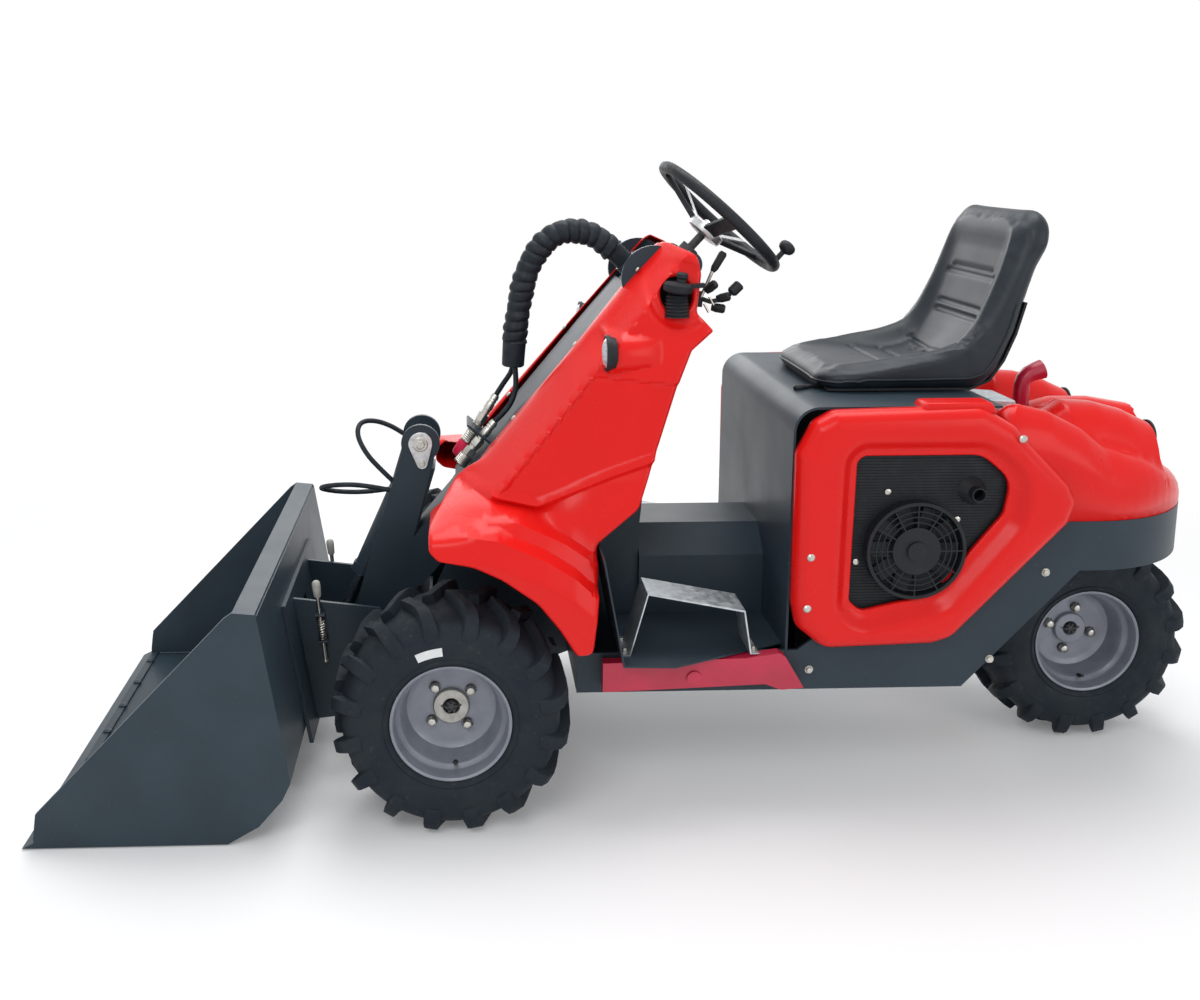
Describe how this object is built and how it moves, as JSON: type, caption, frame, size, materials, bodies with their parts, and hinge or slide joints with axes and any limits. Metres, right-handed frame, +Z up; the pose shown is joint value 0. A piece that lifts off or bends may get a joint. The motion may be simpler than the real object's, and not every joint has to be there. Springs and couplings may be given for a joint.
{
  "type": "three-wheel mini loader",
  "caption": "Ride-on compact loader on three wheels, with a front bucket on a single lifting boom, a steered rear wheel, a steering wheel and a moulded operator's chair.",
  "frame": {"origin": "on the ground under the middle of the machine's length and width", "axes": "+X forward to the bucket, +Y to the driver's left, +Z up"},
  "size_m": [2.9514, 1.05, 1.5442],
  "materials": {
    "body_red": "glossy moulded shell",
    "frame_slate": "satin slate grey paint",
    "bucket_slate": "satin slate grey paint, edges worn",
    "crimson": "gloss crimson paint",
    "galvanised": "bent galvanised sheet",
    "bright_steel": "zinc plated steel",
    "rod_chrome": "hard chrome",
    "rim_silver": "silver grey wheel paint",
    "tyre_rubber": "black rubber",
    "hose_rubber": "black hose cover",
    "seat_vinyl": "black vinyl",
    "black_plastic": "black moulded plastic",
    "cast_black": "dark cast iron",
    "lamp_glass": "clear lens"
  },
  "bodies": {
    "root": {"air_outlet": "black_plastic", "chassis_frame": "frame_slate", "control_levers": "black_plastic", "engine_block": "cast_black", "exhaust_pipe": "crimson", "fairing_left": "body_red", "fairing_right": "body_red", "fan_shroud": "black_plastic", "footplates": "frame_slate", "front_motors": "cast_black", "joystick": "black_plastic", "lamps": "lamp_glass", "mast_frame": "frame_slate", "mast_pins": "bright_steel", "rear_belt": "frame_slate", "rear_hood": "body_red", "safety_strut": "crimson", "screens": "black_plastic", "seat_box": "frame_slate", "seat_cushion": "seat_vinyl", "seat_pan": "black_plastic", "side_panel_left": "body_red", "side_panel_right": "body_red", "steering_bearing": "cast_black", "steering_column": "cast_black", "steps": "galvanised", "tunnel_cover": "frame_slate"},
    "front_left_wheel": {"front_tyre_left": "tyre_rubber", "front_rim_left": "rim_silver"},
    "front_right_wheel": {"front_tyre_right": "tyre_rubber", "front_rim_right": "rim_silver"},
    "rear_fork": {"rear_knuckle": "frame_slate", "rear_motor": "cast_black"},
    "rear_wheel": {"rear_tyre": "tyre_rubber", "rear_rim": "rim_silver"},
    "boom": {"boom_beam": "frame_slate", "boom_cover": "frame_slate", "linkage_pins": "bright_steel", "hydraulic_couplers": "bright_steel", "hose_bundle": "hose_rubber", "feed_hose_high": "hose_rubber", "feed_hose_low": "hose_rubber", "tilt_hose_high": "hose_rubber", "tilt_hose_low": "hose_rubber"},
    "lift_barrel": {"lift_barrel": "frame_slate"},
    "lift_rod": {"lift_rod": "rod_chrome"},
    "tilt_barrel": {"tilt_barrel": "frame_slate"},
    "tilt_rod": {"tilt_rod": "rod_chrome"},
    "coupler": {"coupler_frame": "frame_slate", "lock_levers": "bright_steel", "bucket": "bucket_slate", "cutting_edge": "bucket_slate"},
    "steering_wheel": {"steering_wheel": "black_plastic"},
    "fan": {"fan_rotor": "black_plastic"}
  },
  "joints": [
    {"name": "boom_lift", "type": "hinge", "parent": "root", "child": "boom", "pos_m": [-0.00725, 0, 1.262], "axis": [0, -1, 0], "range_deg": [0, 60]},
    {"name": "bucket_tilt", "type": "hinge", "parent": "boom", "child": "coupler", "pos_m": [0.76275, 0, 0.165], "axis": [0, -1, 0], "range_deg": [-90, 15]},
    {"name": "lift_barrel_pivot", "type": "hinge", "parent": "root", "child": "lift_barrel", "pos_m": [0.07775, 0, 0.42], "axis": [0, -1, 0], "range_deg": [-17, 0]},
    {"name": "lift_rod_slide", "type": "slide", "parent": "lift_barrel", "child": "lift_rod", "axis": [0.0368, 0, 0.9993], "range_m": [0, 0.256]},
    {"name": "tilt_barrel_pivot", "type": "hinge", "parent": "boom", "child": "tilt_barrel", "pos_m": [0.57575, 0, 0.827], "axis": [0, -1, 0], "range_deg": [-0.6, 3]},
    {"name": "tilt_rod_slide", "type": "slide", "parent": "tilt_barrel", "child": "tilt_rod", "axis": [0.4058, 0, -0.914], "range_m": [-0.035, 0.203]},
    {"name": "rear_steer", "type": "hinge", "parent": "root", "child": "rear_fork", "pos_m": [-1.19625, 0, 0.6], "axis": [0, 0, 1], "range_deg": [-55, 55]},
    {"name": "rear_wheel_spin", "type": "hinge", "parent": "rear_fork", "child": "rear_wheel", "pos_m": [-1.19625, 0, 0.2795], "axis": [0, 1, 0], "continuous": true},
    {"name": "front_left_spin", "type": "hinge", "parent": "root", "child": "front_left_wheel", "pos_m": [0.49775, 0.4, 0.2795], "axis": [0, 1, 0], "continuous": true},
    {"name": "front_right_spin", "type": "hinge", "parent": "root", "child": "front_right_wheel", "pos_m": [0.49775, -0.4, 0.2795], "axis": [0, 1, 0], "continuous": true},
    {"name": "steering_wheel_turn", "type": "hinge", "parent": "root", "child": "steering_wheel", "pos_m": [-0.19475, 0, 1.4045], "axis": [-0.6743, 0, 0.7385], "continuous": true},
    {"name": "fan_spin", "type": "hinge", "parent": "root", "child": "fan", "pos_m": [-0.59525, 0.396, 0.645], "axis": [0, 1, 0], "continuous": true}
  ],
  "couplings": [
    {"joint": "lift_barrel_pivot", "follows": "boom_lift", "ratio": -0.2806},
    {"joint": "lift_rod_slide", "follows": "boom_lift", "m_per_rad": 0.2429},
    {"joint": "tilt_barrel_pivot", "follows": "bucket_tilt", "ratio": -0.0308},
    {"joint": "tilt_rod_slide", "follows": "bucket_tilt", "m_per_rad": -0.1281}
  ]
}
